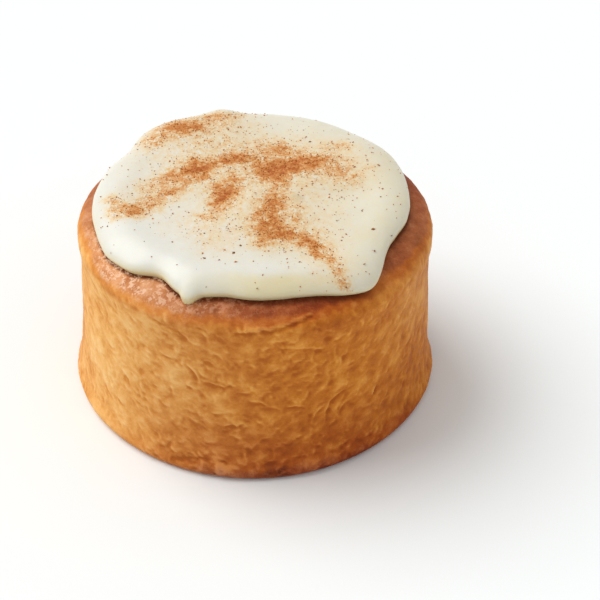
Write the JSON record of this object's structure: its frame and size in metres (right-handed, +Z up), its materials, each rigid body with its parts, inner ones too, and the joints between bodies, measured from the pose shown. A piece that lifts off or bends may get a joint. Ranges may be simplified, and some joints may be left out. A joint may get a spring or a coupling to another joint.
{
  "type": "cinnamon roll",
  "caption": "Tall round cinnamon roll baked in a ring, with a golden crust, a browned rim and a thick layer of cream icing dusted with ground cinnamon.",
  "frame": {"origin": "centre of the footprint's box, on the surface that the roll stands on", "axes": "+Z up through the middle of the icing, -Y towards the front, where the icing's small drip is at the left, +X to the right"},
  "size_m": [0.09, 0.0876, 0.0537],
  "materials": {
    "dough": "baked golden crust, browner at the rim and the foot, softly wrinkled, satin",
    "icing": "thick cream icing, smooth and softly glossy, slightly translucent",
    "cinnamon": "ground cinnamon, dry orange brown powder with darker specks"
  },
  "bodies": {
    "root": {"dough": "dough", "icing": "icing"}
  },
  "joints": []
}
